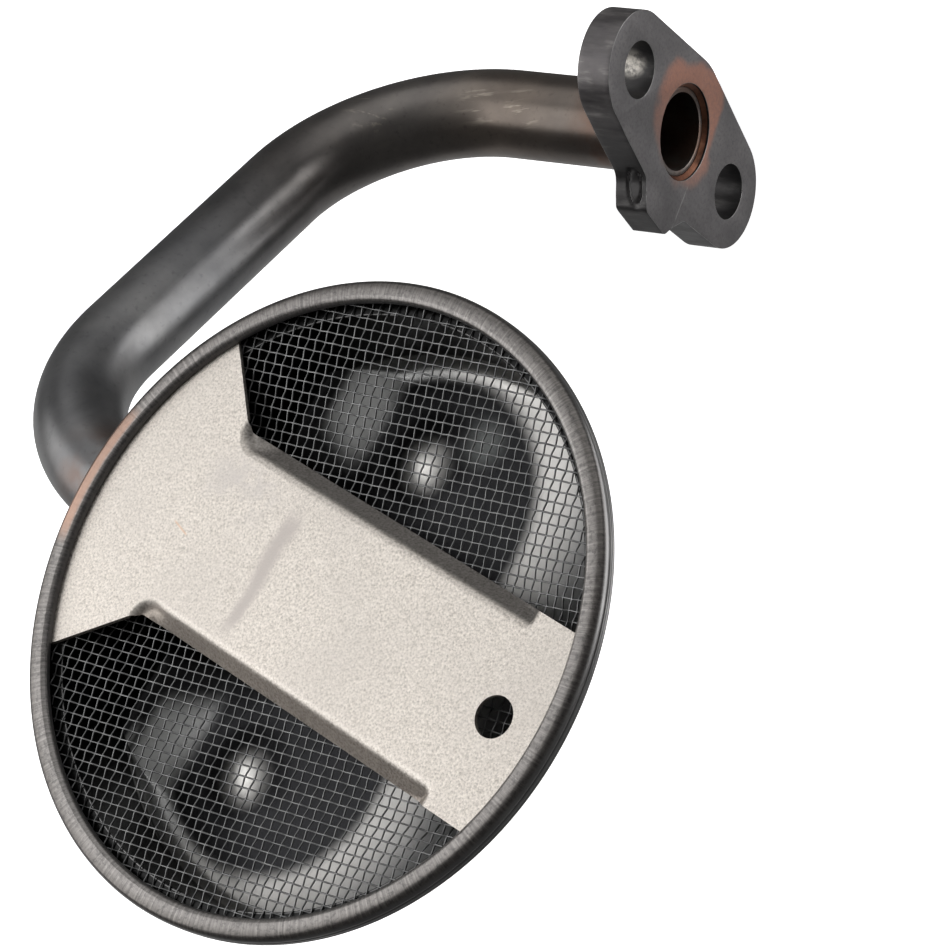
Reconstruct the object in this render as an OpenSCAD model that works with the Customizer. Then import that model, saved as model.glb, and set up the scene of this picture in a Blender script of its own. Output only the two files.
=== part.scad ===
// Oil pickup tube: a bent steel tube with a two-bolt flange at one end and a round
// strainer cup, with a wire screen and a baffle strap over its mouth, at the other.
// All lengths are in mm. The origin is the middle of the flange face, +X points out of
// that face, and Z runs along the line of the two bolt holes.

/* [Tube] */
// Outside diameter of the tube
tube_d = 15; // [13:0.5:17]
// Wall of the tube
tube_wall = 1; // [0.8:0.1:1.5]
// Radius of both bends, measured to the middle of the tube
bend_r = 31; // [28:1:36]
// Straight run from the flange face to the first bend
run_flange = 32.5; // [26:0.5:45]
// Straight run between the two bends
run_middle = 45.5; // [30:0.5:60]
// Distance from the end of the second bend to the middle of the cup
run_cup = 53; // [50:0.5:60]
// Turn of the first bend about the flange axis
roll_a = -64; // [-80:1:-50]
// Angle of the first bend
bend_a = 86; // [75:1:90]
// Turn of the second bend against the first
roll_b = -6.5; // [-12:0.5:0]
// Angle of the second bend
bend_b = 78; // [72:1:86]
// Turn of the cup about the end of the tube
roll_cup = 125.5; // [115:0.5:135]
// Depth of the tube end below the flange face
tube_recess = 1; // [0.8:0.1:1.5]
// Loss of diameter in the bends
bend_loss = 0.06; // [0.04:0.02:0.2]

/* [Flange] */
// Thickness of the flange plate
flange_t = 5.5; // [4.5:0.1:7]
// Distance between the bolt holes
bolt_gap = 39; // [37:0.5:44]
// Diameter of the bolt holes
bolt_d = 9.5; // [8.4:0.1:10.5]
// Metal around each bolt hole
bolt_land = 5; // [4:0.1:6]
// Metal around the tube in the middle of the plate
tube_land = 5.5; // [4.8:0.1:7]
// Height of the tab, from the middle of the plate
tab_h = 16.7; // [16:0.1:19]
// Width of the tab at its end
tab_w = 8; // [7:0.1:9]
// Offset of the tab from the middle of the plate
tab_shift = 1.4; // [0.8:0.1:2]
// How far the slanted side of the tab leans
tab_slant = 3.4; // [2.5:0.1:4]
// Width of the step beside the tab
step_w = 1.6; // [1:0.1:2.5]
// Height of the step beside the tab
step_h = 2.4; // [1.5:0.1:3]
// Width of the notch beside the step
notch_w = 2.5; // [1.5:0.1:3]
// Width of the counterbore round the tube, beyond the tube
seat_w = 0.65; // [0.5:0.05:1]
// Width and height of the braze fillet behind the flange
braze_fillet = 1.8; // [1.2:0.1:2.4]
// Rise of the braze on the wall of the counterbore
braze_rise = 0.6; // [0.4:0.1:0.7]

/* [Strainer cup] */
// Outside diameter of the rolled rim
rim_d = 100; // [97:1:106]
// Height of the rolled rim
rim_h = 3.7; // [3.5:0.1:4.2]
// Width of the rolled rim, seen from the mouth
lip_w = 3.5; // [3.3:0.1:4]
// Rounding of the outer edges of the rolled rim
rim_corner = 0.85; // [0.7:0.05:0.85]
// Sheet thickness of the cup
sheet = 1; // [0.8:0.1:1.1]
// Depth of the cup below the middle of the rim
cup_depth = 20; // [19.8:0.1:22]
// Inside radius between the wall and the floor
floor_fillet = 7; // [6:0.5:8]
// Lean of the wall
wall_lean = 4; // [2:1:6]
// Distance over which the floor is flat, from the rim at the tube to the sloping side
floor_run = 61; // [57:0.5:63]
// Distance from the rim to the open end of the tube
inlet_inset = 14; // [13:0.5:15]
// Distance of each pressed bump from the strap line
bump_y = 27; // [24:0.5:29]
// Distance of the bumps from the middle of the cup, towards the tube
bump_x = 9; // [4:0.5:12]
// Height of each bump
bump_h = 2; // [1.6:0.1:2.6]
// Radius of each bump where it meets the floor
bump_w = 5.2; // [4.5:0.1:6]

/* [Screen] */
// Thickness of the screen wall
screen_t = 0.5; // [0.4:0.05:0.6]
// Depth of the flat part of the screen below its edge
screen_drop = 2.35; // [2.2:0.05:2.5]
// Distance from the lip of the rim to the flat part of the screen
screen_margin = 5; // [4:0.5:6]
// Gap between the screen and the tube
tube_gap = 1.3; // [1:0.1:1.6]
// Height of the ridges on the screen
ridge_h = 0.3; // [0.2:0.05:0.3]
// Width of the ribs between the gaps
rib_w = 1.2; // [1:0.1:2]
// Distance from one gap to the next
screen_pitch = 8.4; // [7.6:0.1:9]
// Turn of the weave against the strap
screen_turn = 13; // [0:1:30]

/* [Strap] */
// Thickness of the strap
strap_t = 0.8; // [0.7:0.05:0.9]
// Width over the bent sides
strap_w = 31.6; // [28:0.2:33]
// Width of the flat top between the bends
strap_top_w = 26.4; // [22:0.2:27]
// Span of the wing over the tube end
wing_w = 53; // [48:0.5:56]
// Where the wing begins, from the middle of the cup
waist_x = 28; // [26:0.5:30]
// Width of the wing where it begins
waist_w = 33.4; // [33:0.2:36]
// Where the bent sides end, from the middle of the cup
shoulder_x = 36.5; // [33:0.5:38]
// Diameter of the hole in the strap
strap_hole_d = 6.3; // [5:0.1:7]
// Turn of the strap against the tube
strap_turn = -2; // [-3:0.5:0]

/* [Braze] */
// Width of the braze round the tube at the cup
cup_braze_w = 1.7; // [1.2:0.1:1.8]
// Thickness of the braze film in the joints
film = 0.2; // [0.1:0.05:0.3]
// Thickness of the braze on the outside of the cup
cup_braze_t = 1.3; // [1:0.1:1.5]

/* [Hidden] */
$fn = 48;

// How far a straight run reaches into a bend
lap = 0.2;
// Clearance between the strap, the screen and the rim
clearance = 0.1;
// How far a cut reaches past the faces that it opens
cut = 1;
// How far the strap and screen reach under the lip
grip = 1.1;
// Distance from the lip to the top of the wall
wall_inset = 1.3;
// Distance from the top of the wall to the sloping side
ramp_inset = 0.7;
// Gap between the screen and the sloping side
ramp_gap = 0.3;
// Rounding of the lip
lip_round = 0.8;
// Width of the plain band round the gaps of the screen
screen_band = 0.5;
// How far the hole for the tube reaches past the end of the tube
inlet_pass = 4;
// Distance from the shoulders of the strap to its hole
hole_inset = 2;
tube_r = tube_d / 2;
bore_d = tube_d - 2 * tube_wall;
rim_r = rim_d / 2;
roll_r = rim_h / 2;
lip_r = rim_r - lip_w;
// Levels in the cup, from the middle of the rim
seat_z = sheet - roll_r;
strap_z = seat_z + screen_t;
lip_z = strap_z + strap_t;
screen_z = strap_z - screen_drop;
strap_low = screen_z + ridge_h + clearance;
tube_z = screen_z - screen_t - tube_gap - tube_r;
// Distance of the open tube end from the middle of the cup
inlet_x = rim_r - inlet_inset;
tube_end = run_cup - inlet_x;
// The wall of the cup leans out from the floor fillet to the seat of the screen
wall_top_r = lip_r - wall_inset;
fillet_z = floor_fillet - cup_depth;
wall_low_z = fillet_z - floor_fillet * sin(wall_lean);
floor_r = wall_top_r - (seat_z - wall_low_z) * tan(wall_lean) - floor_fillet * cos(wall_lean);
// The sloping side curves up from the floor to meet the wall below the screen, opposite the tube
ramp_top = screen_z - screen_t - ramp_gap;
ramp_x = -0.94 * rim_r;
ramp_run = floor_run - rim_r - ramp_x;
ramp_w = wall_top_r - ramp_inset - ramp_x - ramp_run;
ramp_h = cup_depth + ramp_top;
ramp_r = (ramp_w * ramp_w + ramp_h * ramp_h) / (2 * ramp_h);
// A bump is a cap of a sphere
bump_r = (bump_w * bump_w + bump_h * bump_h) / (2 * bump_h);
// Edges of the strap and screen inside the rolled rim
edge_r = lip_r + grip;
slot_r = edge_r + clearance;
screen_flat_r = lip_r - screen_margin;
// Flange outline
end_r = bolt_d / 2 + bolt_land;
mid_r = tube_r + tube_land;
flank = asin((mid_r - end_r) / (bolt_gap / 2));
seat_r = tube_r + seat_w;

// Carries its children from the flange face to the end of the first straight run.
module past_flange_run() {
    rotate([0, -90, 0])
        rotate([0, 0, roll_a])
            translate([0, 0, run_flange])
                children();
}

// Carries its children round a bend.
module past_bend(angle) {
    translate([bend_r, 0, 0])
        rotate([0, angle, 0])
            translate([-bend_r, 0, 0])
                children();
}

// Carries its children to the start of the second bend.
module past_middle_run() {
    past_flange_run()
        past_bend(bend_a)
            rotate([0, 0, roll_b])
                translate([0, 0, run_middle])
                    children();
}

// Carries its children to the end of the second bend.
module past_second_bend() {
    past_middle_run()
        past_bend(bend_b)
            rotate([0, 0, roll_cup])
                children();
}

// Carries its children into the cup: X runs along the tube end, Z out of the mouth.
module in_cup() {
    past_second_bend()
        translate([-tube_z, 0, run_cup])
            rotate([180, -90, 0])
                children();
}

// A round bar along one bend, drawn a little thinner by the bending.
module bend_bar(d, angle) {
    translate([bend_r, 0, 0])
        rotate([90, 0, 180])
            rotate_extrude(angle = angle)
                translate([bend_r, 0])
                    circle(d = d - bend_loss);
}

// A round bar along one straight run that starts at the origin.
module run_bar(d, start, length) {
    translate([0, 0, start])
        cylinder(d = d, h = length);
}

// A round bar along the whole tube. It reaches past both open ends by the length over.
module tube_bar(d, over) {
    past_flange_run() {
        run_bar(d, tube_recess - run_flange - over, run_flange - tube_recess + over + lap);
        bend_bar(d, bend_a);
    }
    past_middle_run() {
        run_bar(d, -run_middle - lap, run_middle + 2 * lap);
        bend_bar(d, bend_b);
    }
    past_second_bend()
        run_bar(d, -lap, tube_end + over + lap);
}

module pickup_tube() {
    color([0.2, 0.2, 0.2])
        difference() {
            tube_bar(tube_d, 0);
            tube_bar(bore_d, cut);
        }
}

// Straight flanks that touch the circles in the middle and at both ends.
module flange_flanks() {
    mid_x = mid_r * sin(flank);
    mid_y = mid_r * cos(flank);
    end_x = bolt_gap / 2 + end_r * sin(flank);
    end_y = end_r * cos(flank);
    polygon([
        [end_x, end_y],
        [mid_x, mid_y],
        [-mid_x, mid_y],
        [-end_x, end_y],
        [-end_x, -end_y],
        [-mid_x, -mid_y],
        [mid_x, -mid_y],
        [end_x, -end_y]
    ]);
}

// The tab on one long side, with its slanted end and its notch.
module flange_tab() {
    root_y = -mid_r * 0.9;
    near_x = tab_w / 2 - tab_shift;
    far_x = -tab_w / 2 - tab_shift;
    polygon([
        [0, -mid_r / 2],
        [near_x + tab_slant, root_y],
        [near_x, -tab_h],
        [far_x, -tab_h],
        [far_x - step_w, -tab_h + step_h],
        [far_x - step_w - notch_w, root_y]
    ]);
}

module flange_plate() {
    cylinder(r = mid_r, h = flange_t);
    for (side = [-1, 1])
        translate([side * bolt_gap / 2, 0, 0])
            cylinder(r = end_r, h = flange_t);
    linear_extrude(flange_t)
        flange_flanks();
    linear_extrude(flange_t)
        flange_tab();
}

module mounting_flange() {
    color([0.3, 0.3, 0.3])
        rotate([0, -90, 0])
            difference() {
                flange_plate();
                for (side = [-1, 1])
                    translate([side * bolt_gap / 2, 0, -cut])
                        cylinder(d = bolt_d, h = flange_t + 2 * cut);
                translate([0, 0, -cut])
                    cylinder(r = tube_r + film, h = flange_t + 2 * cut);
                translate([0, 0, -cut])
                    cylinder(r = seat_r, h = cut + tube_recess + film);
            }
}

module flange_braze() {
    color([0.7, 0.45, 0.3])
        rotate([0, -90, 0])
            rotate_extrude()
                polygon([
                    [tube_r, tube_recess],
                    [seat_r, tube_recess - braze_rise],
                    [seat_r, tube_recess + film],
                    [tube_r + film, tube_recess + film],
                    [tube_r + film, flange_t],
                    [tube_r + braze_fillet, flange_t],
                    [tube_r, flange_t + braze_fillet]
                ]);
}

// Section of the flat floor and of the curve that rises from it.
module ramp_section(extra) {
    translate([0, -cup_depth - extra])
        square([ramp_run, 2 * ramp_r]);
    intersection() {
        translate([ramp_run, ramp_r - cup_depth])
            circle(r = ramp_r + extra);
        translate([0, -cup_depth - extra])
            square([2 * rim_d, 2 * ramp_r]);
    }
}

// The space inside the cup, grown outwards by a thickness.
module cup_space(extra) {
    reach = floor_fillet + extra;
    low_z = fillet_z - reach * sin(wall_lean);
    low_r = floor_r + reach * cos(wall_lean);
    intersection() {
        rotate_extrude() {
            translate([floor_r, fillet_z])
                circle(r = reach);
            polygon([
                [0, fillet_z - reach],
                [floor_r, fillet_z - reach],
                [low_r, low_z],
                [low_r + (seat_z - low_z) * tan(wall_lean), seat_z],
                [0, seat_z]
            ]);
        }
        translate([ramp_x, 0, 0])
            rotate_extrude()
                ramp_section(extra);
    }
}

// The rolled rim: a flattened fold with a lip above and a seat below the screen's edge.
module rim_section() {
    difference() {
        union() {
            translate([rim_r - roll_r, -roll_r])
                square([roll_r - rim_corner, rim_h]);
            translate([rim_r - roll_r, rim_corner - roll_r])
                square([roll_r, rim_h - 2 * rim_corner]);
            for (side = [-1, 1])
                translate([rim_r - rim_corner, side * (roll_r - rim_corner)])
                    circle(r = rim_corner);
            translate([wall_top_r, -roll_r])
                square([rim_r - roll_r - wall_top_r, sheet]);
            polygon([
                [rim_r - roll_r, roll_r],
                [lip_r + lip_round * 0.6, roll_r - lip_round * 0.4],
                [lip_r, roll_r - lip_round],
                [lip_r, lip_z],
                [rim_r - roll_r, lip_z]
            ]);
        }
        translate([wall_top_r - cut, seat_z])
            square([slot_r - wall_top_r + cut, lip_z - seat_z]);
    }
}

// A bar along the tube end in the cup.
module cup_inlet(r) {
    translate([-rim_r, 0, tube_z])
        rotate([0, 90, 0])
            cylinder(r = r, h = rim_r - inlet_x + inlet_pass);
}

module strainer_cup() {
    color([0.25, 0.25, 0.25])
        in_cup()
            difference() {
                union() {
                    rotate_extrude()
                        rim_section();
                    difference() {
                        cup_space(sheet);
                        cup_space(0);
                    }
                    for (side = [-1, 1])
                        intersection() {
                            translate([-bump_x, side * bump_y, bump_h - cup_depth - bump_r])
                                sphere(r = bump_r);
                            translate([-bump_x, side * bump_y, -cup_depth - sheet / 2])
                                cylinder(r = bump_w + sheet, h = bump_h + sheet);
                        }
                }
                for (side = [-1, 1])
                    translate([-bump_x, side * bump_y, bump_h - cup_depth - bump_r])
                        sphere(r = bump_r - sheet);
                cup_inlet(tube_r + film / 2);
            }
}

module cup_braze() {
    color([0.6, 0.4, 0.28])
        in_cup()
            difference() {
                intersection() {
                    cup_space(sheet + cup_braze_t);
                    cup_inlet(tube_r + cup_braze_w);
                }
                cup_space(sheet);
                cup_inlet(tube_r);
            }
}

// One gap of the screen, if all of it lies on the flat part.
module screen_gap(i, j) {
    gap = screen_pitch - rib_w;
    far_x = abs(i) * screen_pitch + gap / 2;
    far_y = abs(j) * screen_pitch + gap / 2;
    if (far_x * far_x + far_y * far_y < pow(screen_flat_r - screen_band, 2))
        translate([i * screen_pitch - gap / 2, j * screen_pitch - gap / 2, screen_z - screen_t - cut])
            cube([gap, gap, screen_t + 2 * cut]);
}

module wire_screen() {
    count = 5;
    ridge_w = rib_w * 0.6;
    color([0.6, 0.6, 0.6])
        in_cup()
            rotate([0, 0, screen_turn])
                difference() {
                    union() {
                        rotate_extrude()
                            polygon([
                                [0, screen_z],
                                [screen_flat_r, screen_z],
                                [wall_top_r - grip, strap_z],
                                [edge_r, strap_z],
                                [edge_r, seat_z],
                                [wall_top_r - ramp_inset, seat_z],
                                [screen_flat_r, screen_z - screen_t],
                                [0, screen_z - screen_t]
                            ]);
                        for (j = [-count : count - 1])
                            ridge(screen_pitch * (j + 0.5), ridge_w);
                    }
                    for (i = [-count : count])
                        for (j = [-count : count])
                            screen_gap(i, j);
                }
}

// One ridge along a rib of the screen.
module ridge(y, w) {
    half = sqrt(pow(screen_flat_r - screen_band, 2) - pow(abs(y) + w / 2, 2));
    translate([-half, y - w / 2, screen_z - screen_t / 2])
        cube([2 * half, w, screen_t / 2 + ridge_h]);
}

// Flat outline of the strap, cut off by a circle at both ends.
module strap_outline() {
    wing_x = sqrt(lip_r * lip_r - wing_w * wing_w / 4);
    grow = (wing_w - waist_w) / 2 / (wing_x - waist_x);
    out = rim_r - waist_x;
    intersection() {
        circle(r = edge_r);
        union() {
            translate([shoulder_x, -strap_w / 2])
                square([rim_r - shoulder_x, strap_w]);
            translate([-waist_x - cut, -strap_top_w / 2])
                square([waist_x + shoulder_x + 2 * cut, strap_top_w]);
            polygon([
                [-waist_x, -waist_w / 2],
                [-waist_x, waist_w / 2],
                [-waist_x - out, waist_w / 2 + out * grow],
                [-waist_x - out, -waist_w / 2 - out * grow]
            ]);
        }
    }
}

// One bent-down side of the strap, in section.
module strap_side() {
    run = (strap_w - strap_top_w) / 2;
    drop = lip_z - strap_low;
    along = strap_t * sqrt(run * run + drop * drop) / drop;
    inner = 2 * strap_t;
    polygon([
        [strap_top_w / 2 - inner, strap_z],
        [strap_top_w / 2 - inner, lip_z],
        [strap_top_w / 2, lip_z],
        [strap_w / 2, strap_low],
        [strap_w / 2 - along, strap_low],
        [strap_w / 2 - along - (strap_z - strap_low) * run / drop, strap_z]
    ]);
}

module baffle_strap() {
    color([0.84, 0.81, 0.77])
        in_cup()
            rotate([0, 0, strap_turn])
                difference() {
                    union() {
                        translate([0, 0, strap_z])
                            linear_extrude(strap_t)
                                strap_outline();
                        for (side = [0, 1])
                            mirror([0, side, 0])
                                translate([-waist_x, 0, 0])
                                    rotate([90, 0, 90])
                                        linear_extrude(waist_x + shoulder_x)
                                            strap_side();
                    }
                    translate([shoulder_x + hole_inset, 0, strap_z - cut])
                        cylinder(d = strap_hole_d, h = strap_t + 2 * cut);
                }
}

pickup_tube();
mounting_flange();
flange_braze();
strainer_cup();
cup_braze();
wire_screen();
baffle_strap();
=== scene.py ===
"""Oil pickup tube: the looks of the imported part, in the part's own frame."""
import math

import bmesh
import bpy
import numpy as np
from mathutils import Matrix, Vector


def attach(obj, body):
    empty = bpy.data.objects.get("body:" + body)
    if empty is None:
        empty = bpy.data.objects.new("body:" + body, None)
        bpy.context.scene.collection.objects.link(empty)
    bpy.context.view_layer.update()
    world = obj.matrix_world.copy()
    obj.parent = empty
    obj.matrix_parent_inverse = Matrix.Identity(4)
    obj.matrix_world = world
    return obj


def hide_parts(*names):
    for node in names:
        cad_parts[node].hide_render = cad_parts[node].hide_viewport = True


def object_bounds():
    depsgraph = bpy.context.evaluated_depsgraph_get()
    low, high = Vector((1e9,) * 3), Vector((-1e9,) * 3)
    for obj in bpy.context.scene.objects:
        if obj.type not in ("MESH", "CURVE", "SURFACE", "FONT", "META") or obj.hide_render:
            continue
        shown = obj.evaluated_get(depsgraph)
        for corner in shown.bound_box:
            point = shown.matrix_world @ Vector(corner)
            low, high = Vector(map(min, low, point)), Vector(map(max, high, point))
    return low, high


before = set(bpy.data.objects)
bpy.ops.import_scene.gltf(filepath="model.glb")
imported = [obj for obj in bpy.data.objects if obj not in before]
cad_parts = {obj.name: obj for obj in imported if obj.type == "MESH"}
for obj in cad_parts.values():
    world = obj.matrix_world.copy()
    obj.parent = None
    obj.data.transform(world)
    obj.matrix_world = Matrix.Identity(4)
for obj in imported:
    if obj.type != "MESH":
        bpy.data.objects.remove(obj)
cad_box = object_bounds()

MM = 0.001

# The tube, in mm and degrees, as in the part's source
TUBE_R = 7.5
BORE_R = 6.5
TUBE_RECESS = 1.0
BEND_R = 31.0
RUN_FLANGE = 32.5
RUN_MIDDLE = 45.5
RUN_CUP = 53.0
TUBE_END = 17.0
ROLL_A = -64.0
BEND_A = 86.0
ROLL_B = -6.5
BEND_B = 78.0
ROLL_CUP = 125.5

# The rounding of the tube's ends, and the sides of its mesh
TUBE_EDGE = 0.25
TUBE_SIDES = 80

# The flange: the plate is 0.4 thicker at the back than the solid
FLANGE_T = 5.9
BOLT_GAP = 39.0
BOLT_R = 4.75
FLANGE_END_R = 9.75
FLANGE_MID_R = 13.0
SOCKET_R = 7.7
SEAT_R = 8.15
SEAT_DEPTH = 1.2
EDGE_ROUND = 0.75
CUT_LENGTH = 30.0
OUTLINE_POINTS = 900

# The tab's corners (z, y), and the oval ring torn into its slanted side
TAB = ((6.0, -11.7), (2.6, -16.7), (-5.4, -16.7), (-7.0, -14.3), (-9.5, -11.7))
DENT_AT = (-2.1, -13.7, 5.0)
DENT_SIZE = (1.3, 3.0)
DENT_DEPTH = 0.4
DENT_RING = 0.2
DENT_REACH = 1.5

# Spans of the flange's outline, in radians, whose corners are softened, and how far
SOFT_SPANS = ((-1.45, -0.55, 0.085), (-2.5, -1.45, 0.022))
SOFT_BLEND = 0.12

# The cup: levels are from the middle of the rim
RIM_R = 50.0
ROLL_R = 1.85
LIP_R = 46.5
LIP_Z = 0.45
SEAT_Z = -0.85
SLOT_DEPTH = 1.2
SHEET = 1.0
CUP_COLUMNS = 360
CUP_START_R = 0.4
RIM_CORNER = 1.3
RIM_CROWN = 0.06
RIM_GROOVES = ((0.25, 0.22), (-0.62, 0.16))
GROOVE_WIDTH = 0.13
WALL_TOP_R = 45.2
WALL_LEAN = math.radians(0.5)
FLOOR_Z = -20.0
FILLET = 3.4
FILLET_Z = FLOOR_Z + FILLET
WALL_LOW_Z = FILLET_Z - FILLET * math.sin(WALL_LEAN)
FLOOR_R = WALL_TOP_R - (SEAT_Z - WALL_LOW_Z) * math.tan(WALL_LEAN) - FILLET * math.cos(WALL_LEAN)

# The cup's floor: round pockets, a sloping side, a shelf by the tube and two bumps. TUCK is how
# far the lower wall is drawn in, and TUBE_Z the level of the tube.
POCKET_X = -8.0
POCKET_Y = 20.3
POCKET_R = 20.4
RAMP_R = 42.26
TUCK = 6.5
SHELF_X = -20.0
SHELF_R = 16.0
SHELF_RISE = 4.5
BUMP_X = -10.0
BUMP_Y = 27.0
BUMP_H = 1.2
BUMP_W = 9.0
TUBE_Z = -12.0

# The parts of the cup's section, and the level of each in its UV map
INSIDE, OUTSIDE, RIM = 0, 1, 2
LAYER_V = (0.0, 2.0, 1.0)

# The screen and the strap
WIRE_PITCH = 1.59
WIRE_R = 0.145
WIRE_SIDES = 5
WEAVE_TURN = math.radians(13)
SCREEN_Z = -2.88
SCREEN_EDGE_Z = -0.6
SCREEN_FLAT_R = 39.6
SCREEN_EDGE_R = 46.9
SCREEN_R = 47.3
PRESS_HALF = 17.3
STRAP_T = 0.8
STRAP_TURN = math.radians(-1.5)
STRAP_OFF = 1.0
STRAP_FLAT = 12.43
FOLD_R = 1.6
FOLD = math.radians(45.5)
FOLD_X = -28.6
FOLD_CORNER = 4.0
SHOULDER_CORNER = 2.0
CORNER_DROP = 1.1
STRAP_HALF = 15.8
WAIST_X = -28.0
WAIST_HALF = 16.7
WING_X = -38.2
WING_HALF = 26.5
SHOULDER_X = 36.5
STRAP_R = 47.5
HOLE_X = 38.5
HOLE_R = 3.15

# The camera, from the photograph: its place, its right and its up
CAMERA_AT = (324.64, -273.49, 509.79)
CAMERA_RIGHT = (0.8402, 0.3449, -0.4184)
CAMERA_UP = (-0.1382, 0.8824, 0.4498)
FOCAL_PX = 3978.33
FRAME_PX = 950.0

# The studio, in metres: the lights' distance from the part, and the floor that curves up
LIGHT_AWAY = 0.8
FLOOR_BELOW = 0.0015
FLOOR_FLAT = 1.6
FLOOR_BEND = 1.5
FLOOR_SWEEP = 1.75
FLOOR_SIDES = 96


def shift(x, y, z):
    return Matrix.Translation((x, y, z))


def turn(axis, degrees):
    return Matrix.Rotation(math.radians(degrees), 4, axis)


def round_bend(degrees):
    """From the start of a bend to a point on it."""
    return shift(BEND_R, 0, 0) @ turn("Y", degrees) @ shift(-BEND_R, 0, 0)


START = turn("Y", -90) @ turn("Z", ROLL_A)
FIRST_BEND = START @ shift(0, 0, RUN_FLANGE)
MIDDLE_RUN = FIRST_BEND @ round_bend(BEND_A) @ turn("Z", ROLL_B)
SECOND_BEND = MIDDLE_RUN @ shift(0, 0, RUN_MIDDLE)
CUP_RUN = SECOND_BEND @ round_bend(BEND_B) @ turn("Z", ROLL_CUP)
CUP_AXES = Matrix(((0, 0, 1, 0), (0, -1, 0, 0), (1, 0, 0, 0), (0, 0, 0, 1)))
CUP = CUP_RUN @ shift(-TUBE_Z, 0, RUN_CUP) @ CUP_AXES


def placed(points, place):
    """Points in mm, moved by a matrix, as an array in metres."""
    m = np.array(place)
    return (np.asarray(points, float) @ m[:3, :3].T + m[:3, 3]) * MM


def full_circle(count):
    """Evenly spread angles, once round."""
    return np.linspace(0, 2 * math.pi, count, endpoint=False)


def smooth_step(x, low, high):
    t = np.clip((x - low) / (high - low), 0, 1)
    return t * t * (3 - 2 * t)


def smooth_max(a, b, width):
    """The larger of two heights, blended over a width."""
    h = np.clip(0.5 + 0.5 * (a - b) / width, 0, 1)
    return b + (a - b) * h + width * h * (1 - h)


def shade_smooth(mesh, sharp):
    """Smooth shading, apart from edges that turn by more than an angle in degrees."""
    mesh.polygons.foreach_set("use_smooth", [True] * len(mesh.polygons))
    mesh.set_sharp_from_angle(angle=math.radians(sharp))


def new_piece(name, points, faces, node, sharp=35, uv=None):
    """A mesh piece in metres that rides on the part, with smooth shading up to an angle."""
    mesh = bpy.data.meshes.new(name)
    mesh.from_pydata([tuple(p) for p in points], [], [tuple(f) for f in faces])
    if uv is not None:
        layer = mesh.uv_layers.new(name="around")
        loops = np.empty(len(mesh.loops), np.int32)
        mesh.loops.foreach_get("vertex_index", loops)
        layer.data.foreach_set("uv", np.asarray(uv, np.float32)[loops].ravel())
    shade_smooth(mesh, sharp)
    mesh.update()
    piece = bpy.data.objects.new(name, mesh)
    bpy.context.scene.collection.objects.link(piece)
    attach(piece, "root")
    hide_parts(node)
    return piece


def ring_faces(rows, columns, closed_rows):
    """Quads between rings that are closed around."""
    faces = []
    for i in range(rows if closed_rows else rows - 1):
        a = i * columns
        b = ((i + 1) % rows) * columns
        for j in range(columns):
            k = (j + 1) % columns
            faces.append((a + j, a + k, b + k, b + j))
    return faces


def bake(piece):
    """Applies a piece's modifiers to its mesh."""
    graph = bpy.context.evaluated_depsgraph_get()
    made = bpy.data.meshes.new_from_object(piece.evaluated_get(graph))
    piece.modifiers.clear()
    piece.data = made


def cut_with_bar(piece, place, radius, length, sides=96):
    """Cuts a round hole along the Z axis of a place."""
    cutter_mesh = bpy.data.meshes.new("cutter")
    bm = bmesh.new()
    bmesh.ops.create_cone(bm, cap_ends=True, segments=sides, radius1=radius * MM,
                          radius2=radius * MM, depth=length * MM)
    bm.to_mesh(cutter_mesh)
    bm.free()
    cutter = bpy.data.objects.new("cutter", cutter_mesh)
    bpy.context.scene.collection.objects.link(cutter)
    in_metres = place.copy()
    in_metres.translation = place.translation * MM
    cutter.matrix_world = in_metres
    cut = piece.modifiers.new("hole", "BOOLEAN")
    cut.operation = "DIFFERENCE"
    cut.solver = "EXACT"
    cut.object = cutter
    bpy.context.view_layer.update()
    bake(piece)
    bpy.data.objects.remove(cutter)
    bpy.data.meshes.remove(cutter_mesh)


def make_tube():
    """The bent tube: one closed skin over its outside, its ends and its bore."""
    route = [START @ shift(0, 0, z) for z in np.linspace(TUBE_RECESS, RUN_FLANGE, 12)]
    route += [FIRST_BEND @ round_bend(a) for a in np.linspace(0, BEND_A, 48)[1:]]
    route += [MIDDLE_RUN @ shift(0, 0, z) for z in np.linspace(0, RUN_MIDDLE, 14)[1:]]
    route += [SECOND_BEND @ round_bend(a) for a in np.linspace(0, BEND_B, 44)[1:]]
    route += [CUP_RUN @ shift(0, 0, z) for z in np.linspace(0, TUBE_END, 8)[1:]]
    bevel = ((0, TUBE_EDGE), (TUBE_EDGE * 0.3, TUBE_EDGE * 0.3))
    first = [(route[0] @ shift(0, 0, d), TUBE_R - back) for d, back in bevel]
    last = [(route[-1] @ shift(0, 0, -d), TUBE_R - back) for d, back in reversed(bevel)]
    last_in = [(route[-1] @ shift(0, 0, -d), BORE_R + back) for d, back in bevel]
    first_in = [(route[0] @ shift(0, 0, d), BORE_R + back) for d, back in reversed(bevel)]
    rings = first + [(m, TUBE_R) for m in route[1:-1]] + last
    rings += last_in + [(m, BORE_R) for m in reversed(route[1:-1])] + first_in
    around = full_circle(TUBE_SIDES)
    points = []
    for m, r in rings:
        ring = np.stack([r * np.cos(around), r * np.sin(around), np.zeros(TUBE_SIDES)], 1)
        points.append(placed(ring, m))
    faces = ring_faces(len(rings), TUBE_SIDES, True)
    return new_piece("tube", np.concatenate(points), faces, "pickup_tube", 40)


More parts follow.
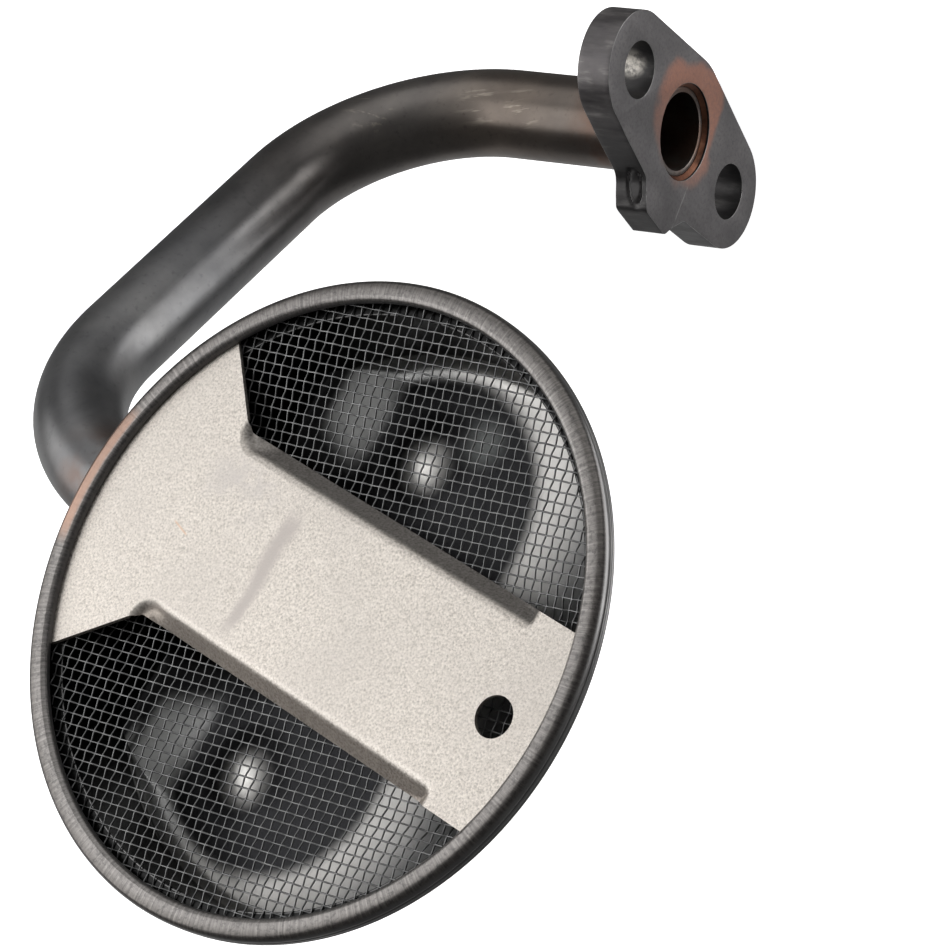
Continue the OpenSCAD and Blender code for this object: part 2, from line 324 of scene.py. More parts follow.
def flange_outline():
    """The outline of the plate, seen along X: Z to the right and Y up."""
    angle = np.linspace(-math.pi, math.pi, OUTLINE_POINTS, endpoint=False)
    normal = np.stack([np.cos(angle), np.sin(angle)], 1)
    reach = np.maximum(FLANGE_MID_R, FLANGE_END_R + BOLT_GAP / 2 * np.abs(normal[:, 0]))
    facing = normal @ normal.T
    radius = np.where(facing > 0.05, reach[None, :] / np.maximum(facing, 0.05), 1e9).min(1)
    for (ax, ay), (bx, by) in zip(TAB, TAB[1:]):
        nx, ny = ay - by, bx - ax
        along = normal @ np.array([nx, ny])
        with np.errstate(divide="ignore"):
            hit = (ax * nx + ay * ny) / along
        low, high = sorted((math.atan2(ay, ax), math.atan2(by, bx)))
        radius = np.where((angle >= low) & (angle <= high), np.maximum(radius, hit), radius)
    soft = radius.copy()
    step = angle[1] - angle[0]
    for low, high, width in SOFT_SPANS:
        reach = int(3 * width / step)
        weight = np.exp(-0.5 * (np.arange(-reach, reach + 1) * step / width) ** 2)
        smoothed = np.convolve(np.pad(radius, reach, "wrap"), weight / weight.sum(), "valid")
        into = smooth_step(angle, low - SOFT_BLEND, low + SOFT_BLEND)
        out_of = smooth_step(angle, high - SOFT_BLEND, high + SOFT_BLEND)
        soft = soft + (smoothed - soft) * (into * (1 - out_of))
    return normal * soft[:, None]


def sheared(x, y, z):
    """A point of the flange's side, sunk where the tab's end was torn in an oval ring."""
    (near_z, near_y), (far_z, far_y) = TAB[:2]
    way = Vector((near_z - far_z, near_y - far_y)).normalized()
    along = (z - DENT_AT[2]) * way.x + (y - DENT_AT[1]) * way.y
    off = (z - DENT_AT[2]) * way.y - (y - DENT_AT[1]) * way.x
    ring = math.hypot((x - DENT_AT[0]) / DENT_SIZE[0], along / DENT_SIZE[1])
    sunk = DENT_DEPTH * math.exp(-((ring - 1) / DENT_RING) ** 2) * float(abs(off) < DENT_REACH)
    return x, y + sunk * way.x, z - sunk * way.y


def make_flange():
    """The two-bolt plate with its tab, drawn from its outline and rounded along its edges."""
    outline = flange_outline()
    count = len(outline)
    inset = EDGE_ROUND + 0.2
    levels = [0.0, *np.linspace(inset, FLANGE_T - inset, 20), FLANGE_T]
    points = [sheared(-depth, y, z) for depth in levels for z, y in outline]
    faces = [tuple(reversed(f)) for f in ring_faces(len(levels), count, False)]
    last = (len(levels) - 1) * count
    faces += [tuple(range(count)), tuple(last + j for j in reversed(range(count)))]
    flange = new_piece("flange", np.array(points) * MM, faces, "mounting_flange")
    across = turn("Y", 90)
    for z in (-BOLT_GAP / 2, BOLT_GAP / 2):
        cut_with_bar(flange, shift(0, 0, z) @ across, BOLT_R, CUT_LENGTH, 72)
    cut_with_bar(flange, across, SOCKET_R, CUT_LENGTH)
    cut_with_bar(flange, shift(5 - SEAT_DEPTH, 0, 0) @ across, SEAT_R, 10)
    round_edges = flange.modifiers.new("round_edges", "BEVEL")
    round_edges.width = EDGE_ROUND * MM
    round_edges.segments = 4
    round_edges.limit_method = "ANGLE"
    round_edges.angle_limit = math.radians(40)
    round_edges.material = 1
    round_edges.use_clamp_overlap = True
    for material in (flange_steel(), flange_edge(), flange_side()):
        flange.data.materials.append(material)
    bake(flange)
    for face in flange.data.polygons:
        if face.material_index == 0 and abs(face.normal.x) < 0.5:
            face.material_index = 2
    shade_smooth(flange.data, 30)


def floor_height(x, y, z, extra):
    """Raises the plain bottom of the cup by its sloping side, its shelf and its bumps.

    extra is how far the surface lies outside the inner one.
    """
    radius = RAMP_R + extra
    past = np.hypot(x - POCKET_X, np.maximum(np.abs(y) - POCKET_Y, 0)) - POCKET_R
    run = np.where(x > POCKET_X, np.clip(past, 0, 0.95 * radius), 0)
    slope = FLOOR_Z + RAMP_R - np.sqrt(radius ** 2 - run ** 2)
    blend = 0.5 * smooth_step(run, 0, 12) + 0.001
    high = np.where(run > 0, smooth_max(z, slope, blend), z)
    rise = np.maximum(0, SHELF_X - x) ** 2 / (2 * SHELF_R) * smooth_step(np.abs(y), 6, 20)
    shelf = FLOOR_Z - extra + np.minimum(rise, SHELF_RISE)
    high = np.where(rise > 0, np.maximum(high, shelf), high)
    for side in (-1, 1):
        d = np.hypot(x - BUMP_X, y - side * BUMP_Y)
        high = high + BUMP_H * (0.5 + 0.5 * np.cos(np.pi * np.clip(d / BUMP_W, 0, 1)))
    return high


def cup_profile():
    """Points (r, z, layer) along the section, from the inside over the rim to the outside."""
    section = [(r, FLOOR_Z, INSIDE) for r in np.linspace(CUP_START_R, FLOOR_R, 54)]
    for a in np.linspace(-math.pi / 2, -WALL_LEAN, 16)[1:]:
        section.append((FLOOR_R + FILLET * math.cos(a), FILLET_Z + FILLET * math.sin(a), INSIDE))
    low_r, low_z, _ = section[-1]
    for t in np.linspace(0, 1, 12)[1:]:
        section.append((low_r + t * (WALL_TOP_R - low_r), low_z + t * (SEAT_Z - low_z), INSIDE))
    section += [(r, z, RIM) for r, z in rim_section()]
    section.append((WALL_TOP_R + SHEET + 0.9, -ROLL_R, RIM))
    reach = FILLET + SHEET
    top_r = (WALL_TOP_R + SHEET / math.cos(WALL_LEAN)) - (ROLL_R + SEAT_Z) * math.tan(WALL_LEAN)
    top_z = -ROLL_R - 0.15
    end_r = FLOOR_R + reach * math.cos(WALL_LEAN)
    end_z = FILLET_Z - reach * math.sin(WALL_LEAN)
    for t in np.linspace(0, 1, 12):
        section.append((top_r + t * (end_r - top_r), top_z + t * (end_z - top_z), OUTSIDE))
    for a in np.linspace(-WALL_LEAN, -math.pi / 2, 16)[1:]:
        section.append((FLOOR_R + reach * math.cos(a), FILLET_Z + reach * math.sin(a), OUTSIDE))
    section += [(r, FLOOR_Z - SHEET, OUTSIDE) for r in np.linspace(FLOOR_R, CUP_START_R, 54)[1:]]
    return section


def rim_section():
    """Points (r, z) of the rolled rim: the slot for the screen, the lip, the flat and the side."""
    slot_r = LIP_R + SLOT_DEPTH
    points = [(WALL_TOP_R + 0.3, SEAT_Z), (slot_r, SEAT_Z), (slot_r, LIP_Z)]
    points += [(LIP_R + 0.25, LIP_Z), (LIP_R + 0.05, LIP_Z + 0.12), (LIP_R, LIP_Z + 0.35)]
    points += [(LIP_R + 0.12, 1.3), (LIP_R + 0.4, 1.62)]
    corner_r, corner_z = RIM_R - RIM_CORNER, ROLL_R - RIM_CORNER
    middle_r, half_flat = 48.2, 1.3
    for r in np.linspace(LIP_R + 0.85, corner_r, 14):
        points.append((r, ROLL_R - RIM_CROWN * ((r - middle_r) / half_flat) ** 2))
    for a in np.radians(np.linspace(80, 0, 9)):
        points.append((corner_r + RIM_CORNER * math.cos(a), corner_z + RIM_CORNER * math.sin(a)))
    for z in np.linspace(corner_z, -corner_z, 41)[1:]:
        sunk = sum(depth * math.exp(-((z - at) / GROOVE_WIDTH) ** 2) for at, depth in RIM_GROOVES)
        points.append((RIM_R - sunk, z))
    for a in np.radians(np.linspace(0, -90, 9)[1:]):
        points.append((corner_r + RIM_CORNER * math.cos(a), -corner_z + RIM_CORNER * math.sin(a)))
    return points


def make_cup():
    """The cup with its rolled rim, turned from one section and then pressed to shape.

    Its lower wall is tucked in on the side away from the tube.
    """
    section = cup_profile()
    angle = full_circle(CUP_COLUMNS)
    tucked = smooth_step(np.cos(angle), 0.15, 0.75)
    points, uv = [], []
    for r, z, layer in section:
        height = np.full(CUP_COLUMNS, z)
        if layer != RIM:
            deep = min(max((SEAT_Z - z) / (SEAT_Z - FLOOR_Z), 0), 1)
            r = r - TUCK * deep * (r / WALL_TOP_R) * tucked
        x, y = r * np.cos(angle), r * np.sin(angle)
        if layer != RIM:
            extra = SHEET if layer == OUTSIDE else 0.0
            ceiling = SEAT_Z - 0.02 - (1.02 if layer == OUTSIDE else 0.0)
            height = np.minimum(floor_height(x, y, height, extra), ceiling)
        points.append(np.stack([x, y, height], 1))
        uv.append(np.stack([angle / (2 * math.pi), np.full(CUP_COLUMNS, LAYER_V[layer])], 1))
    faces = [tuple(reversed(f)) for f in ring_faces(len(section), CUP_COLUMNS, False)]
    last = (len(section) - 1) * CUP_COLUMNS
    faces.append(tuple(range(CUP_COLUMNS)))
    faces.append(tuple(last + j for j in reversed(range(CUP_COLUMNS))))
    cup = new_piece("cup", placed(np.concatenate(points), CUP), faces, "strainer_cup",
                    38, np.concatenate(uv))
    cut_with_bar(cup, CUP @ shift(-44, 0, TUBE_Z) @ turn("Y", 90), TUBE_R + 0.1, 24)
    return cup


def dish(x, y):
    """Height of the middle of the screen, which the strap presses down between its sides."""
    r = np.hypot(x, y)
    lean = WEAVE_TURN - STRAP_TURN
    side = np.maximum(np.abs(x * math.sin(lean) + y * math.cos(lean)), 0.01)
    pressed = np.minimum(SCREEN_FLAT_R, PRESS_HALF * r / side)
    return SCREEN_Z + (SCREEN_EDGE_Z - SCREEN_Z) * smooth_step(r, pressed, SCREEN_EDGE_R)


def make_wires(name, across):
    """All the wires of the screen that run one way, woven over and under the others."""
    count = int(SCREEN_R / WIRE_PITCH) + 1
    sides = WIRE_SIDES
    around = full_circle(sides)
    step = WIRE_PITCH / 4
    points, faces = [], []
    for j in range(-count, count):
        v = (j + 0.5) * WIRE_PITCH
        if abs(v) > SCREEN_R - 0.5:
            continue
        half = math.sqrt(SCREEN_R ** 2 - v ** 2)
        u = np.arange(-math.floor(half / step), math.floor(half / step) + 1) * step
        over = (1 if j % 2 else -1) * (-1 if across else 1)
        wave = np.cos(math.pi * (u / WIRE_PITCH - 0.5)) * over
        z = (dish(-v, u) if across else dish(u, v)) + WIRE_R * wave
        slope = np.gradient(z, u)
        long = np.sqrt(1 + slope ** 2)
        base = sum(len(p) for p in points)
        rings = []
        for a in around:
            c, s = WIRE_R * math.cos(a), WIRE_R * math.sin(a)
            rings.append(np.stack([u - slope / long * s, np.full_like(u, v + c), z + s / long], 1))
        ring = np.stack(rings, 1).reshape(-1, 3)
        if across:
            ring = ring[:, [1, 0, 2]] * np.array([-1, 1, 1])
        points.append(ring)
        for i in range(len(u) - 1):
            a, b = base + i * sides, base + (i + 1) * sides
            for k in range(sides):
                n = (k + 1) % sides
                faces.append((a + k, a + n, b + n, b + k))
        end = base + (len(u) - 1) * sides
        faces.append(tuple(base + k for k in reversed(range(sides))))
        faces.append(tuple(end + k for k in range(sides)))
    place = CUP @ Matrix.Rotation(WEAVE_TURN, 4, "Z")
    points = placed(np.concatenate(points), place)
    return new_piece(name, points, faces, "wire_screen", 80)


def past_corner(a, b, radius):
    """Distance into a quarter plane whose corner is rounded."""
    if a < radius and b < radius:
        return radius - math.hypot(radius - a, radius - b)
    return min(a, b)


def strap_drop(x, w):
    """How far the strap is bent down, at a distance from its middle line."""
    past = w - STRAP_FLAT
    d = min(past_corner(x - FOLD_X, past, FOLD_CORNER),
            past_corner(SHOULDER_X - x, past, SHOULDER_CORNER))
    if d <= 0:
        return 0.0
    arc = FOLD_R * math.sin(FOLD)
    if d < arc:
        drop = FOLD_R - math.sqrt(FOLD_R ** 2 - d ** 2)
    else:
        drop = FOLD_R * (1 - math.cos(FOLD)) + (d - arc) * math.tan(FOLD)
    ledge = CORNER_DROP * float(smooth_step(d, 0, 1.9))
    return ledge + (drop - ledge) * float(smooth_step(x, FOLD_X + 1.5, FOLD_X + 7))


def strap_row(x, across):
    """One row of points across the strap, bent down at both sides where it has sides."""
    if x < WAIST_X:
        half = WAIST_HALF + (x - WAIST_X) * (WING_HALF - WAIST_HALF) / (WING_X - WAIST_X)
    else:
        narrowed = float(smooth_step(x, WAIST_X, WAIST_X + 1.2))
        half = WAIST_HALF + (STRAP_HALF - WAIST_HALF) * narrowed
    end = math.sqrt(max(STRAP_R ** 2 - x * x, 0.01))
    if end < 2 * STRAP_OFF:
        return [(x, t * end, LIP_Z) for t in across]
    low, high = min(half, end + STRAP_OFF), min(half, end - STRAP_OFF)
    row = [t * (high if t > 0 else low) for t in across]
    return [(x, w + STRAP_OFF, LIP_Z - strap_drop(x, abs(w))) for w in row]


def make_strap():
    """The strap over the screen, pressed from sheet with both sides bent down."""
    xs = np.concatenate([
        -STRAP_R + 0.02 + (STRAP_R + WING_X) * np.linspace(0, 1, 26) ** 2,
        np.linspace(WING_X, WAIST_X - 2, 12)[1:],
        np.linspace(WAIST_X - 2, WAIST_X + 8, 44)[1:],
        np.linspace(WAIST_X + 8, SHOULDER_X - 3, 30)[1:],
        np.linspace(SHOULDER_X - 3, SHOULDER_X + 1, 26)[1:],
        np.linspace(SHOULDER_X + 1, STRAP_R - 0.02, 26)[1:],
    ])
    flat = STRAP_FLAT / STRAP_HALF - 0.02
    half = np.concatenate([np.linspace(0, flat, 16), np.linspace(flat, 1, 24)[1:]])
    across = np.concatenate([-half[:0:-1], half])
    points = [p for x in xs for p in strap_row(x, across)]
    columns = len(across)
    faces = []
    for i in range(len(xs) - 1):
        for j in range(columns - 1):
            a = i * columns + j
            faces.append((a, a + columns, a + columns + 1, a + 1))
    place = CUP @ Matrix.Rotation(STRAP_TURN, 4, "Z")
    strap = new_piece("strap", placed(points, place), faces, "baffle_strap", 45)
    thick = strap.modifiers.new("thick", "SOLIDIFY")
    thick.thickness = STRAP_T * MM
    thick.offset = -1
    bpy.context.view_layer.update()
    bake(strap)
    cut_with_bar(strap, place @ shift(HOLE_X, STRAP_OFF, LIP_Z), HOLE_R, 6)
    shade_smooth(strap.data, 45)
    return strap


class Shader:
    """A node material with one Principled shader."""

    def __init__(self, name, **sockets):
        self.material = bpy.data.materials.new(name)
        self.material.use_nodes = True
        self.nodes = self.material.node_tree.nodes
        self.links = self.material.node_tree.links
        self.shader = self.nodes["Principled BSDF"]
        self.place = self.nodes.new("ShaderNodeTexCoord").outputs["Object"]
        for socket, value in sockets.items():
            self.shader.inputs[socket.replace("_", " ")].default_value = value

    def feed(self, socket, value):
        if isinstance(value, bpy.types.NodeSocket):
            self.links.new(value, socket)
        elif value is not None:
            socket.default_value = value

    def noise(self, scale, detail=4.0, rough=0.55, vector=None, distort=0.0):
        node = self.nodes.new("ShaderNodeTexNoise")
        self.feed(node.inputs["Vector"], vector or self.place)
        node.inputs["Scale"].default_value = scale
        node.inputs["Detail"].default_value = detail
        node.inputs["Roughness"].default_value = rough
        node.inputs["Distortion"].default_value = distort
        return node.outputs["Fac"]

    def span(self, value, low, high, to_low=0.0, to_high=1.0):
        node = self.nodes.new("ShaderNodeMapRange")
        node.interpolation_type = "SMOOTHSTEP"
        for socket, v in zip(node.inputs, (value, low, high, to_low, to_high)):
            self.feed(socket, v)
        return node.outputs["Result"]

    def calc(self, kind, a, b=None):
        node = self.nodes.new("ShaderNodeMath")
        node.operation = kind
        self.feed(node.inputs[0], a)
        self.feed(node.inputs[1], b)
        return node.outputs["Value"]

    def times(self, a, b):
        return self.calc("MULTIPLY", a, b)

    def gap(self, value, middle):
        """Distance of a number from a middle value."""
        return self.calc("ABSOLUTE", self.calc("SUBTRACT", value, middle))

    def mix(self, share, a, b, kind="MIX"):
        node = self.nodes.new("ShaderNodeMix")
        node.data_type = "RGBA"
        node.blend_type = kind
        self.feed(node.inputs["Factor"], share)
        for socket, v in (("A", a), ("B", b)):
            colour = [s for s in node.inputs if s.name == socket and s.type == "RGBA"][0]
            self.feed(colour, (*v, 1.0) if isinstance(v, tuple) else v)
        return [s for s in node.outputs if s.type == "RGBA"][0]

    def ramp(self, value, *stops):
        node = self.nodes.new("ShaderNodeValToRGB")
        self.feed(node.inputs["Fac"], value)
        elements = node.color_ramp.elements
        while len(elements) < len(stops):
            elements.new(0.5)
        for element, (at, colour) in zip(elements, stops):
            element.position = at
            element.color = (*colour, 1.0)
        return node.outputs["Color"]

    def near(self, point, low, high):
        """One close to a point given in mm, nought away from it."""
        node = self.nodes.new("ShaderNodeVectorMath")
        node.operation = "DISTANCE"
        self.links.new(self.place, node.inputs[0])
        node.inputs[1].default_value = [c * MM for c in point]
        return self.span(node.outputs["Value"], low * MM, high * MM, 1.0, 0.0)

    def stretched(self, place, scale):
        """Object coordinates in the axes of a place, stretched along them."""
        node = self.nodes.new("ShaderNodeMapping")
        node.vector_type = "TEXTURE"
        node.inputs["Location"].default_value = [c * MM for c in place.translation]
        node.inputs["Rotation"].default_value = place.to_euler()
        node.inputs["Scale"].default_value = scale
        self.links.new(self.place, node.inputs["Vector"])
        return node.outputs["Vector"]

    def in_mm(self, place):
        """The three coordinates in mm, in the axes of a place."""
        return [self.times(c, 1 / MM) for c in self.parts(self.stretched(place, (1, 1, 1)))]

    def parts(self, vector):
        """The three numbers of a vector."""
        node = self.nodes.new("ShaderNodeSeparateXYZ")
        self.links.new(vector, node.inputs["Vector"])
        return node.outputs["X"], node.outputs["Y"], node.outputs["Z"]

    def length(self, x, y):
        """Length of a flat vector."""
        return self.calc("SQRT", self.calc("ADD", self.times(x, x), self.times(y, y)))

    def bump(self, height, strength, distance):
        node = self.nodes.new("ShaderNodeBump")
        node.inputs["Strength"].default_value = strength
        node.inputs["Distance"].default_value = distance * MM
        self.links.new(height, node.inputs["Height"])
        self.links.new(node.outputs["Normal"], self.shader.inputs["Normal"])

    def colour(self, value):
        self.feed(self.shader.inputs["Base Color"], value)

    def rough(self, value):
        self.feed(self.shader.inputs["Roughness"], value)


def cup_point(x, y, z):
    return tuple(CUP @ Vector((x, y, z)))


def tube_steel():
    """Dark scaled steel, brown by both joints and on the first bend, with three worn spots, and
    painted shade at the start of the middle run.
    """
    s = Shader("tube_steel", Metallic=0.9)
    cloud = s.noise(70, 5, 0.6, distort=0.4)
    fine = s.noise(900, 3, 0.6)
    base = s.ramp(cloud, (0.25, (0.130, 0.131, 0.135)), (0.5, (0.185, 0.184, 0.186)),
                  (0.75, (0.25, 0.246, 0.243)))
    base = s.mix(s.span(fine, 0.55, 0.8, 0.0, 0.6), base, (0.11, 0.11, 0.113))
    at_flange = s.times(s.near((-7, 0, 0), 8, 15.5), s.span(s.noise(160, 3), 0.3, 0.6))
    base = s.mix(s.times(at_flange, 0.7), base, (0.15, 0.085, 0.060))
    bend = FIRST_BEND @ round_bend(BEND_A * 0.4)
    middle = MIDDLE_RUN @ shift(0, 0, RUN_MIDDLE * 0.15)
    base = s.mix(s.near(bend.translation, 20, 52), base, (0.88, 0.815, 0.755), "MULTIPLY")
    # Painted shade: the tube is darkened around the start of the middle run, which dims its
    # highlight there.
    base = s.mix(s.near(middle.translation, 10, 30), base, (0.72, 0.72, 0.73), "MULTIPLY")
    base = s.mix(s.near((-18, 0, 0), 14, 34), base, (0.88, 0.80, 0.735), "MULTIPLY")
    streaks = s.noise(700, 3, 0.65, s.stretched(turn("Z", 12), (6.0, 1.0, 1.0)))
    for spot in ((-53.5, -8.5, 12), (-36, -2.7, 7.2), (-28, -2.6, 7)):
        worn = s.times(s.near(spot, 0.5, 5.5), s.span(streaks, 0.56, 0.66))
        base = s.mix(s.times(worn, 0.6), base, (0.42, 0.375, 0.315))
    at_cup = s.near(cup_point(-47, 0, TUBE_Z), 8, 20)
    at_cup = s.times(at_cup, s.span(s.noise(140, 3), 0.35, 0.65))
    base = s.mix(at_cup, base, (0.16, 0.10, 0.075))
    s.colour(base)
    s.rough(s.span(s.noise(45, 4, 0.6), 0.3, 0.7, 0.30, 0.44))
    s.bump(s.noise(420, 4, 0.6), 0.12, 0.15)
    return s.material


def flange_steel():
    """Matt grey steel, stained with copper round the socket, with a line scribed to its notch."""
    s = Shader("flange_steel", Metallic=0.65)
    grain = s.noise(1600, 3, 0.7)
    base = s.ramp(s.noise(130, 5, 0.6), (0.3, (0.125, 0.119, 0.121)), (0.55, (0.165, 0.157, 0.159)),
                  (0.8, (0.20, 0.19, 0.188)))
    base = s.mix(s.span(grain, 0.42, 0.7, 0.0, 0.55), base, (0.085, 0.081, 0.083))
    x, y, z = s.parts(s.place)
    spot = s.length(s.calc("SUBTRACT", y, 2.4 * MM), s.calc("SUBTRACT", z, 0.2 * MM))
    spot = s.calc("ADD", spot, s.span(s.noise(110, 2, 0.4), 0.3, 0.7, -1.4 * MM, 1.4 * MM))
    stain = s.span(spot, 9.4 * MM, 11.4 * MM, 1.0, 0.0)
    stain = s.times(stain, s.span(y, -10 * MM, 4 * MM, 0.35, 0.9))
    stain = s.times(stain, s.span(x, -3 * MM, -1 * MM))
    stain = s.times(stain, s.span(grain, 0.25, 0.7, 1.0, 0.65))
    base = s.mix(stain, base, (0.43, 0.20, 0.135))
    scribe = s.span(s.gap(z, -6.85 * MM), 0.08 * MM, 0.22 * MM, 1.0, 0.0)
    scribe = s.times(scribe, s.span(y, -7.2 * MM, -6.2 * MM, 1.0, 0.0))
    scribe = s.times(scribe, s.span(s.noise(500, 2), 0.35, 0.6, 0.1, 0.6))
    base = s.mix(scribe, base, (0.34, 0.33, 0.325))
    s.colour(base)
    s.rough(s.span(s.noise(80, 4), 0.3, 0.7, 0.42, 0.58))
    s.bump(s.noise(900, 4, 0.65), 0.3, 0.12)
    return s.material


def flange_side():
    """The sheared sides and the holes of the flange: darker, streaked through the plate, with
    painted light on the upper sides and a painted light patch in the upper bolt hole.
    """
    s = Shader("flange_side", Metallic=0.75)
    streaks = s.noise(420, 4, 0.65, s.stretched(Matrix.Identity(4), (4.0, 1.0, 1.0)))
    base = s.ramp(streaks, (0.3, (0.04, 0.038, 0.039)), (0.55, (0.07, 0.067, 0.067)),
                  (0.78, (0.17, 0.165, 0.16)))
    base = s.mix(s.span(s.noise(160, 4, 0.6), 0.45, 0.65, 0.0, 0.6), base, (0.05, 0.048, 0.049))
    torn = s.near(DENT_AT, 1.6, 3.2)
    base = s.mix(s.times(torn, 0.6), base, (0.07, 0.068, 0.068))
    _, y, z = s.parts(s.place)
    from_bolt = s.length(y, s.calc("SUBTRACT", z, BOLT_GAP / 2 * MM))
    # Painted light: the outer sides are made lighter towards the top end, away from the upper bolt
    # hole.
    high = s.span(z, 8 * MM, 22 * MM)
    high = s.times(high, s.span(from_bolt, (BOLT_R + 0.5) * MM, (BOLT_R + 1) * MM))
    base = s.mix(high, base, (2.2, 2.15, 2.15), "MULTIPLY")
    # Painted light: a pale mottled patch inside the upper bolt hole stands for what is seen through
    # it.
    hole_light = s.near((-4.2, BOLT_R - 1.5, BOLT_GAP / 2 - 3.5), 0.8, 3.2)
    hole_light = s.times(hole_light, s.span(s.noise(700, 3, 0.6), 0.38, 0.62, 0.2, 1.0))
    base = s.mix(hole_light, base, (0.60, 0.565, 0.51))
    s.colour(base)
    s.rough(s.span(streaks, 0.3, 0.7, 0.36, 0.52))
    s.bump(streaks, 0.3, 0.15)
    return s.material


def flange_edge():
    """Steel burnished bright along the edges of the flange."""
    s = Shader("flange_edge", Metallic=0.85)
    base = s.ramp(s.noise(260, 4, 0.6), (0.3, (0.15, 0.148, 0.148)), (0.55, (0.30, 0.295, 0.29)),
                  (0.75, (0.5, 0.49, 0.48)))
    s.colour(base)
    s.rough(s.span(s.noise(300, 3), 0.3, 0.7, 0.26, 0.42))
    return s.material


def copper_braze():
    """Copper braze, dulled to brown in patches."""
    s = Shader("copper_braze", Metallic=0.85)
    base = s.ramp(s.noise(300, 5, 0.6), (0.3, (0.075, 0.033, 0.02)), (0.55, (0.2, 0.085, 0.05)),
                  (0.8, (0.42, 0.2, 0.12)))
    s.colour(base)
    s.rough(s.span(s.noise(240, 4), 0.3, 0.7, 0.32, 0.5))
    s.bump(s.noise(600, 3), 0.25, 0.15)
    return s.material


def cup_inside(s, x, y, z):
    """Colour inside the cup, by its coordinates in mm.

    The pockets are painted dark as shade, the sloping side and the shelf carry painted light, and
    painted shade darkens it by the tube and under the rim; the bumps and a spot on the floor carry
    painted highlights.
    """
    aside = s.calc("ABSOLUTE", y)
    beyond = s.calc("MAXIMUM", s.calc("SUBTRACT", aside, POCKET_Y), 0)
    past = s.calc("SUBTRACT", s.length(s.calc("SUBTRACT", x, POCKET_X), beyond), POCKET_R)
    # Painted light on the shelf by the tube, and painted shade on the rest of the floor and wall
    # near the tube.
    lit = s.span(s.calc("ADD", aside, s.times(x, 0.5)), 7, 13)
    lit = s.times(lit, s.span(x, -37, -28))
    inner = s.mix(lit, (0.02, 0.02, 0.021), (0.60, 0.60, 0.59))
    # Painted light on the sloping side, brightest by the pockets, with painted shade darkening it
    # where y is negative.
    slope = s.mix(s.span(past, 2.5, 15), (0.66, 0.645, 0.62), (0.26, 0.26, 0.257))
    slope = s.mix(s.span(y, -6, 6, 0.25, 0.0), slope, (0.0, 0.0, 0.0))
    inner = s.mix(s.span(x, -22, -9), inner, slope)
    # Painted shade on the upper wall, away from the sloping side.
    wall = s.times(s.span(z, FILLET_Z - 0.9, FILLET_Z + 0.1), s.span(x, 2, 15, 1.0, 0.0))
    inner = s.mix(wall, inner, (0.03, 0.03, 0.031))
    # Painted highlight: a thin bright line along the fillet between floor and wall.
    line = s.span(s.gap(z, FILLET_Z + 0.3), 0.15, 0.5, 1.0, 0.0)
    line = s.times(line, s.span(y, -32, -28, 1.0, 0.0))
    line = s.times(line, s.span(x, -20, -12, 1.0, 0.0))
    inner = s.mix(line, inner, (0.5, 0.5, 0.49))
    # Painted shade: the pockets are painted nearly black.
    pool_shade = s.times(s.span(past, -1.0, 2.2, 1.0, 0.0), s.span(x, -25, -20))
    inner = s.mix(pool_shade, inner, (0.024, 0.024, 0.026))
    # Painted highlights on the tops of the two bumps.
    for side in (-1, 1):
        top = cup_point(BUMP_X, side * BUMP_Y - 0.8, FLOOR_Z + BUMP_H)
        inner = s.mix(s.near(top, 0.3, 5.8), inner, (0.88, 0.86, 0.825))
    # Painted reflection: a soft pale spot on the floor beside the upper bump.
    soft = s.near(cup_point(-3, 33.5, FLOOR_Z), 0.5, 5.5)
    inner = s.mix(s.times(soft, 0.7), inner, (0.19, 0.2, 0.195))
    # Painted shade at the top of the inner wall, under the rim.
    inner = s.mix(s.span(z, SEAT_Z - 2.5, SEAT_Z - 0.5), inner, (0.015, 0.015, 0.015))
    cloud = s.ramp(s.noise(90, 5, 0.6), (0.3, (0.75, 0.75, 0.75)), (0.7, (1.0, 1.0, 1.0)))
    return s.mix(0.5, inner, cloud, "MULTIPLY")


